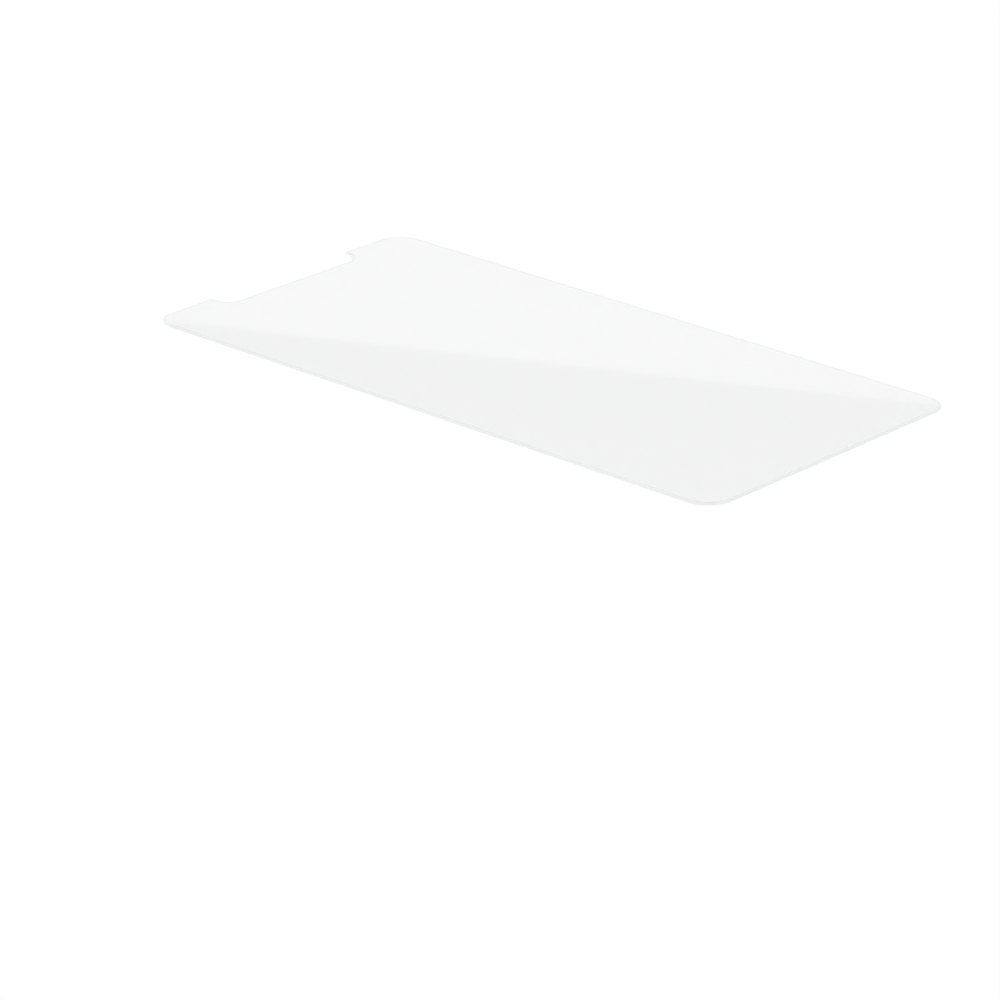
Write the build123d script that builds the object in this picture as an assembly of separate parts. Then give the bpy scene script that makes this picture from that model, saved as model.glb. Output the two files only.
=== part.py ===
"""Clear tempered-glass phone screen protector, with a notch in its top edge.

One flat sheet, ground and polished from a single piece of glass. Millimetres.
Z = 0 is the adhesive underside, +Z is the side that a finger touches, and +Y is the top end, where the
notch is. The origin is the middle of the underside.
"""

import os

from build123d import *

# The sheet in plan
LENGTH = 138.0  # along Y
WIDTH = 67.5  # along X
CORNER_RADIUS = 5.5

# The notch in the top edge
NOTCH_WIDTH = 35.6  # from flank to flank
NOTCH_DEPTH = 4.5
NOTCH_MOUTH_RADIUS = 1.0  # convex, where a flank meets the top edge
NOTCH_FLOOR_RADIUS = 3.3  # concave, where a flank meets the floor
FLANK_SHARE = 0.98  # the most of a flank, below the mouth, that the floor's rounding takes up

# The sheet in section
THICKNESS = 0.33
RIM_WIDTH = 0.7  # how far the domed rim reaches in over the upper face
RIM_LAND = 0.08  # upright band that is left at the edge, under the domed rim
UNDERSIDE_CHAMFER = 0.05  # broken edge round the adhesive face


def plan_outline():
    """The outline: a rectangle with round corners and a round-cornered notch in its +Y edge."""
    flank = NOTCH_DEPTH - NOTCH_MOUTH_RADIUS
    floor_radius = min(NOTCH_FLOOR_RADIUS, FLANK_SHARE * flank)
    notch = Pos(0, LENGTH / 2) * Rectangle(NOTCH_WIDTH, 2 * NOTCH_DEPTH)
    notch = fillet(notch.vertices().group_by(Axis.Y)[0], floor_radius)
    outline = RectangleRounded(WIDTH, LENGTH, CORNER_RADIUS) - notch
    top_edge_ends = outline.vertices().group_by(Axis.Y)[-1]
    mouth_corners = top_edge_ends.sort_by(lambda vertex: abs(vertex.X))[:2]
    return fillet(mouth_corners, NOTCH_MOUTH_RADIUS)


def rim_waste():
    """Section of the glass that is ground off the rim, drawn at the sheet's right-hand side.

    Its inner side is the domed rim, an arc that leaves the upper face without a corner and drops to
    the upright land. Its other sides stand clear of the glass.
    """
    side = WIDTH / 2
    land_top = UNDERSIDE_CHAMFER + RIM_LAND
    clear_of_side = side + THICKNESS
    clear_of_face = 2 * THICKNESS
    dome_start = (side - RIM_WIDTH, THICKNESS)
    dome_end = (side, land_top)
    dome = TangentArc(dome_start, dome_end, tangent=(1, 0))
    waste = Polyline(
        dome_end,
        (clear_of_side, land_top),
        (clear_of_side, clear_of_face),
        (side - RIM_WIDTH, clear_of_face),
        dome_start,
    )
    return Plane.XZ * make_face([dome, waste])


def screen_protector():
    """The finished sheet: cut to outline, its lower edge broken and its upper rim domed."""
    outline = plan_outline()
    sheet = extrude(outline, THICKNESS)
    underside = sheet.faces().sort_by(Axis.Z)[0]
    sheet = chamfer(underside.edges(), UNDERSIDE_CHAMFER)
    edge_path = outline.face().outer_wire()
    return sheet - sweep(rim_waste(), path=edge_path)


if __name__ == "__main__":
    os.makedirs("parts", exist_ok=True)
    sheet = screen_protector()
    sheet.label = "screen_protector"
    export_step(sheet, "parts/screen_protector.step")
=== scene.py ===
"""Clear tempered-glass screen protector lying flat on a white table, in soft studio light."""

import math

import bmesh
import bpy
from mathutils import Matrix, Vector


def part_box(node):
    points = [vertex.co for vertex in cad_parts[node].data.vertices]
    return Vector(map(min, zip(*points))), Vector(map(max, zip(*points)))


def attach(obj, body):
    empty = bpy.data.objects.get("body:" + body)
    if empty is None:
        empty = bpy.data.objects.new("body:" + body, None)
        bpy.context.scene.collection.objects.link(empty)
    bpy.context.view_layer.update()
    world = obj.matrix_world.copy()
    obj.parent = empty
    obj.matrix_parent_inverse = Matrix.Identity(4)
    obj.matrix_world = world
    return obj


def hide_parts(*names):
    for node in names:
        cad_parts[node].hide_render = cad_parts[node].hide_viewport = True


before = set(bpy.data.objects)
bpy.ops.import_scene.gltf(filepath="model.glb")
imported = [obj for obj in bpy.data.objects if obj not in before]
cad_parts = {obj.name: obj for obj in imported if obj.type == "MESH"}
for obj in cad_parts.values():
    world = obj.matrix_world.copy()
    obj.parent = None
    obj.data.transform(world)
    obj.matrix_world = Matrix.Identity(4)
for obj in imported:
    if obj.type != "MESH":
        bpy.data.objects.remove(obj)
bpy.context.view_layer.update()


# Glass sheet
# One piece of thin glass, cut to a round-cornered outline with a notch in its top edge, and tempered. Its
# rim is ground to a low dome that catches a little light. It sticks on by its whole underside.

MM = 0.001
CORNER_RADIUS = 5.5 * MM
NOTCH_WIDTH = 35.6 * MM
NOTCH_DEPTH = 4.5 * MM
NOTCH_MOUTH_RADIUS = 1.0 * MM
NOTCH_FLOOR_RADIUS = 3.3 * MM
RIM_WIDTH = 0.7 * MM
RIM_LAND = 0.08 * MM
UNDERSIDE_CHAMFER = 0.05 * MM
CORNER_STEPS = 24
MOUTH_STEPS = 12
FLOOR_STEPS = 18
DOME_STEPS = 10
ARC_PROFILE = 0.5
SHARP_ANGLE = math.radians(25)

low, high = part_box("screen_protector")
top_edge = high.y
notch_floor = top_edge - NOTCH_DEPTH
notch_side = NOTCH_WIDTH / 2


def round_corners(mesh, corners, radius, steps):
    """Rounds these corners of a flat outline to arcs of one radius."""
    bmesh.ops.bevel(
        mesh,
        geom=corners,
        offset=radius,
        offset_type="OFFSET",
        affect="VERTICES",
        segments=steps,
        profile=ARC_PROFILE,
    )


glass_mesh = bmesh.new()
outer_corners = [
    glass_mesh.verts.new((x, y, UNDERSIDE_CHAMFER))
    for x, y in ((low.x, top_edge), (low.x, low.y), (high.x, low.y), (high.x, top_edge))
]
mouth_corners = [
    glass_mesh.verts.new((x, top_edge, UNDERSIDE_CHAMFER)) for x in (notch_side, -notch_side)
]
floor_corners = [
    glass_mesh.verts.new((x, notch_floor, UNDERSIDE_CHAMFER)) for x in (notch_side, -notch_side)
]
right_mouth, left_mouth = mouth_corners
glass_mesh.faces.new([*outer_corners, right_mouth, *floor_corners, left_mouth])
round_corners(glass_mesh, outer_corners, CORNER_RADIUS, CORNER_STEPS)
round_corners(glass_mesh, mouth_corners, NOTCH_MOUTH_RADIUS, MOUTH_STEPS)
round_corners(glass_mesh, floor_corners, NOTCH_FLOOR_RADIUS, FLOOR_STEPS)

# The upright land, then the dome: an arc that meets the upper face without a corner.
underside = glass_mesh.faces[:][0]
raised = bmesh.ops.extrude_face_region(glass_mesh, geom=[underside])["geom"]
bmesh.ops.translate(
    glass_mesh,
    vec=(0, 0, RIM_LAND),
    verts=[part for part in raised if isinstance(part, bmesh.types.BMVert)],
)
glass_mesh.normal_update()
dome_drop = high.z - UNDERSIDE_CHAMFER - RIM_LAND
dome_radius = (RIM_WIDTH**2 + dome_drop**2) / (2 * dome_drop)
dome_angle = math.asin(RIM_WIDTH / dome_radius)
upper_face = next(part for part in raised if isinstance(part, bmesh.types.BMFace))
for step in range(DOME_STEPS):
    outer = dome_angle * (1 - step / DOME_STEPS)
    inner = dome_angle * (1 - (step + 1) / DOME_STEPS)
    bmesh.ops.inset_region(
        glass_mesh,
        faces=[upper_face],
        thickness=dome_radius * (math.sin(outer) - math.sin(inner)),
        depth=dome_radius * (math.cos(inner) - math.cos(outer)),
        use_even_offset=True,
    )
bmesh.ops.recalc_face_normals(glass_mesh, faces=glass_mesh.faces[:])
underside = min(glass_mesh.faces, key=lambda face: face.normal.z)
bmesh.ops.inset_region(
    glass_mesh,
    faces=[underside],
    thickness=UNDERSIDE_CHAMFER,
    depth=UNDERSIDE_CHAMFER,
    use_even_offset=True,
)
for face in glass_mesh.faces:
    face.smooth = face not in (underside, upper_face)
for edge in glass_mesh.edges:
    edge.smooth = edge.calc_face_angle() < SHARP_ANGLE

sheet = bpy.data.objects.new("glass_sheet", bpy.data.meshes.new("glass_sheet"))
glass_mesh.to_mesh(sheet.data)
glass_mesh.free()
bpy.context.scene.collection.objects.link(sheet)


class Wire:
    """An output of a shader node. Arithmetic on it adds Math nodes to its tree."""

    def __init__(self, shader, socket):
        self.shader = shader
        self.socket = socket

    def maths(self, operation, *values):
        sockets = dict(enumerate(values))
        return self.shader.add("ShaderNodeMath", {"operation": operation}, sockets)["Value"]

    def along(self, direction):
        """How far this vector goes in a direction."""
        sockets = {0: self, 1: direction}
        return self.shader.add("ShaderNodeVectorMath", {"operation": "DOT_PRODUCT"}, sockets)["Value"]

    def rise(self, start, end):
        """Goes smoothly from 0 at start to 1 at end."""
        settings = {"interpolation_type": "SMOOTHSTEP"}
        sockets = {"Value": self, "From Min": start, "From Max": end}
        return self.shader.add("ShaderNodeMapRange", settings, sockets)["Result"]

    def __abs__(self):
        return self.maths("ABSOLUTE", self)

    def __add__(self, other):
        return self.maths("ADD", self, other)

    def __sub__(self, other):
        return self.maths("SUBTRACT", self, other)

    def __rsub__(self, other):
        return self.maths("SUBTRACT", other, self)

    def __mul__(self, other):
        return self.maths("MULTIPLY", self, other)

    def __truediv__(self, other):
        return self.maths("DIVIDE", self, other)

    def __rtruediv__(self, other):
        return self.maths("DIVIDE", other, self)

    def __or__(self, other):
        return self.maths("MAXIMUM", self, other)

    __radd__ = __add__
    __rmul__ = __mul__
    __ror__ = __or__


class Shader:
    """A node tree that is filled by one method, add."""

    def __init__(self, owner):
        owner.use_nodes = True
        self.tree = owner.node_tree
        self.tree.nodes.clear()

    def add(self, kind, settings, sockets):
        """Adds a node with these settings and socket values or links, and returns its outputs by name."""
        node = self.tree.nodes.new(kind)
        for name, value in settings.items():
            setattr(node, name, value)
        for name, value in sockets.items():
            if isinstance(value, Wire):
                self.tree.links.new(value.socket, node.inputs[name])
            else:
                node.inputs[name].default_value = value
        return {output.name: Wire(self, output) for output in node.outputs if output.enabled}


GLASS_IOR = 1.5
CLEAR_TINT = (0.945, 0.946, 0.95, 1)
POLISH_ROUGHNESS = 0.004
SMEAR_ROUGHNESS = 0.01
SMEARS_PER_METRE = 45
SMEAR_DETAIL = 5
SMEAR_FINENESS = 0.6
WAVES_PER_METRE = 30
WAVE_DETAIL = 1
WAVE_HEIGHT = 0.004 * MM
# The rim's two colours are painted light and shade: the dome's darker colour is painted shade, the land's
# paler one painted light.
DOME_PAINTED_SHADE = (0.925, 0.95, 0.945, 1)
LAND_PAINTED_LIGHT = (0.968, 0.99, 0.986, 1)
RIM_ROUGHNESS = 0.3
RIM_HAZE = 0.93
FACE_SLOPE = math.radians(1.8)
RIM_SLOPE = math.radians(10)
LAND_SLOPE = math.radians(60)
SHADOW_TINT = (0.985, 0.985, 0.987, 1)
MIX_FIRST_COLOUR = 6
MIX_SECOND_COLOUR = 7

glass = bpy.data.materials.new("clear_tempered_glass")
shader = Shader(glass)
place = shader.add("ShaderNodeTexCoord", {}, {})["Object"]
smears = shader.add(
    "ShaderNodeTexNoise",
    {},
    {"Vector": place, "Scale": SMEARS_PER_METRE, "Detail": SMEAR_DETAIL, "Roughness": SMEAR_FINENESS},
)["Fac"]
waves = shader.add(
    "ShaderNodeTexNoise", {}, {"Vector": place, "Scale": WAVES_PER_METRE, "Detail": WAVE_DETAIL}
)["Fac"]
waviness = shader.add(
    "ShaderNodeBump", {}, {"Strength": 1, "Distance": WAVE_HEIGHT, "Height": waves}
)["Normal"]

# The rim is told from the faces by its slope. By slope, its dome gets painted shade for the darker line a
# glass rim shows from above, and its upright land gets painted light to keep it pale where it faces the
# side.
facing = abs(shader.add("ShaderNodeNewGeometry", {}, {})["Normal"].along((0, 0, 1)))
rim = facing.rise(math.cos(FACE_SLOPE), math.cos(RIM_SLOPE))
upright = facing.rise(math.cos(dome_angle), math.cos(LAND_SLOPE))
rim_painted_shade_and_light = shader.add(
    "ShaderNodeMix",
    {"data_type": "RGBA"},
    {"Factor": upright, MIX_FIRST_COLOUR: DOME_PAINTED_SHADE, MIX_SECOND_COLOUR: LAND_PAINTED_LIGHT},
)["Result"]
roughness = POLISH_ROUGHNESS + SMEAR_ROUGHNESS * smears + RIM_ROUGHNESS * rim
polished = shader.add(
    "ShaderNodeBsdfPrincipled",
    {},
    {
        "Base Color": CLEAR_TINT,
        "Roughness": roughness,
        "IOR": GLASS_IOR,
        "Transmission Weight": 1,
        "Normal": waviness,
    },
)["BSDF"]
ground = shader.add(
    "ShaderNodeBsdfPrincipled", {}, {"Base Color": rim_painted_shade_and_light, "Roughness": roughness, "IOR": GLASS_IOR}
)["BSDF"]
body = shader.add("ShaderNodeMixShader", {}, {0: RIM_HAZE * rim, 1: polished, 2: ground})["Shader"]
clear = shader.add("ShaderNodeBsdfTransparent", {}, {"Color": SHADOW_TINT})["BSDF"]
rays = shader.add("ShaderNodeLightPath", {}, {})
lit = shader.add("ShaderNodeMixShader", {}, {0: rays["Is Shadow Ray"], 1: body, 2: clear})["Shader"]
lit = shader.add("ShaderNodeMixShader", {}, {0: rays["Is Diffuse Ray"], 1: lit, 2: clear})["Shader"]
shader.add("ShaderNodeOutputMaterial", {}, {"Surface": lit})
sheet.data.materials.append(glass)

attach(sheet, "root")
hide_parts("screen_protector")


# White table
# A plain matt white surface. Seen directly, in the glass or through it, it is as white as paper in good
# light, and it keeps the shadow of what lies on it.

TABLE_HALF = 3.0
AIR_GAP = 0.02 * MM
TABLE_COLOUR = (0.8, 0.8, 0.8, 1)
TABLE_GLOW = 0.206

table_mesh = bmesh.new()
bmesh.ops.create_grid(table_mesh, x_segments=1, y_segments=1, size=TABLE_HALF)
bmesh.ops.translate(table_mesh, vec=(0, 0, low.z - AIR_GAP), verts=table_mesh.verts[:])
table = bpy.data.objects.new("table", bpy.data.meshes.new("table"))
table_mesh.to_mesh(table.data)
table_mesh.free()
bpy.context.scene.collection.objects.link(table)

white = bpy.data.materials.new("matt_white")
shader = Shader(white)
rays = shader.add("ShaderNodeLightPath", {}, {})
seen = rays["Is Camera Ray"] | rays["Is Glossy Ray"] | rays["Is Transmission Ray"]
paint = shader.add("ShaderNodeBsdfDiffuse", {}, {"Color": TABLE_COLOUR})["BSDF"]
glow = shader.add("ShaderNodeEmission", {}, {"Strength": TABLE_GLOW * seen})["Emission"]
both = shader.add("ShaderNodeAddShader", {}, {0: paint, 1: glow})["Shader"]
shader.add("ShaderNodeOutputMaterial", {}, {"Surface": both})
table.data.materials.append(white)


# Studio light
# Two large soft lamps, high on both sides, in a pale room lined with rows of panels. A white card stands
# behind the table, and the glass mirrors its sloping top edge as a line from corner to corner.

ROOM_COLOUR = (1, 1, 1, 1)
ROOM_LIGHT = 0.85
MIRRORED_ROOM = 0.79
MIRRORED_CARD = 0.965
CARD_HEADING = math.radians(42.6)
CARD_HEIGHT = math.radians(20.8)
CARD_HALF_WIDTH = math.radians(6.5)
CARD_HALF_HEIGHT = math.radians(2.2)
CARD_FADE = math.radians(2)
EDGE_HEADING = math.radians(25.3)
EDGE_HEIGHT = math.radians(21.54)
EDGE_BLUR = 0.0004
PANELS = 10
PANEL_SPREAD = 0.25
PANEL_SHADE = 0.5
LOW_GLOW = 0.175
GLOW_BELOW = 0.32
LAMPS = (  # name, position, diameter and watts
    ("key_lamp", (-0.9, 0.7, 1.6), 2.0, 6.0),
    ("fill_lamp", (1.2, -0.4, 1.5), 1.6, 3.0),
)


def direction(heading, height):
    """The way to a point at a heading round the table and a height over it, both of them angles."""
    level = math.cos(height)
    return (level * math.cos(heading), level * math.sin(heading), math.sin(height))


room = bpy.data.worlds.new("pale_room")
bpy.context.scene.world = room
shader = Shader(room)
ray = shader.add("ShaderNodeTexCoord", {}, {})["Generated"]
height = ray.along((0, 0, 1))
across_diagonal = Vector((low.y - high.y, low.x - high.x, 0)).normalized()
panel = ray.along(across_diagonal) / (height + PANEL_SPREAD) * PANELS
panel = panel.maths("FRACT", panel)
ahead = ray.along(direction(CARD_HEADING, CARD_HEIGHT))
ahead = ahead.rise(math.cos(CARD_HALF_WIDTH + CARD_FADE), math.cos(CARD_HALF_WIDTH))
level = abs(height - math.sin(CARD_HEIGHT)).rise(CARD_HALF_HEIGHT + CARD_FADE, CARD_HALF_HEIGHT)
near_card = ahead * level
under_edge = ray.along(direction(EDGE_HEADING, EDGE_HEIGHT - math.pi / 2)).rise(-EDGE_BLUR, EDGE_BLUR)
shade = PANEL_SHADE * height * panel * (1 - near_card)
walls = MIRRORED_ROOM + LOW_GLOW * height.rise(GLOW_BELOW, 0) - shade
mirrored = walls + (MIRRORED_CARD - walls) * near_card * under_edge
rays = shader.add("ShaderNodeLightPath", {}, {})
strength = (
    ROOM_LIGHT
    + (1 - ROOM_LIGHT) * rays["Is Camera Ray"]
    + (mirrored - ROOM_LIGHT) * (rays["Is Glossy Ray"] | rays["Is Transmission Ray"])
)
backdrop = shader.add(
    "ShaderNodeBackground", {}, {"Color": ROOM_COLOUR, "Strength": strength}
)["Background"]
shader.add("ShaderNodeOutputWorld", {}, {"Surface": backdrop})

for name, position, size, power in LAMPS:
    lamp = bpy.data.objects.new(name, bpy.data.lights.new(name, "AREA"))
    lamp.data.shape = "DISK"
    lamp.data.size = size
    lamp.data.energy = power
    lamp.visible_glossy = False
    lamp.visible_transmission = False
    lamp.location = position
    lamp.rotation_euler = Vector(position).to_track_quat("Z", "Y").to_euler()
    bpy.context.scene.collection.objects.link(lamp)


# Camera
# A long lens, a little above the table and to the left of the sheet's lower end, so that the notch is at
# the far left.

CAMERA_AZIMUTH = math.radians(-47.37)
CAMERA_ELEVATION = math.radians(22.33)
CAMERA_DISTANCE = 890 * MM
FRAME_RIGHT = -7.96 * MM
FRAME_UP = -25.4 * MM
LENS = 174.24  # this and the sensor are in millimetres, as a camera takes them
SENSOR = 36

camera = bpy.data.objects.new("camera", bpy.data.cameras.new("camera"))
camera.data.lens = LENS
camera.data.sensor_width = SENSOR
turn = Matrix.Rotation(CAMERA_AZIMUTH, 4, "Z") @ Matrix.Rotation(math.pi / 2 - CAMERA_ELEVATION, 4, "X")
camera.matrix_world = turn @ Matrix.Translation((FRAME_RIGHT, FRAME_UP, CAMERA_DISTANCE))
bpy.context.scene.collection.objects.link(camera)
bpy.context.scene.camera = camera
bpy.context.scene.view_settings.view_transform = "Standard"
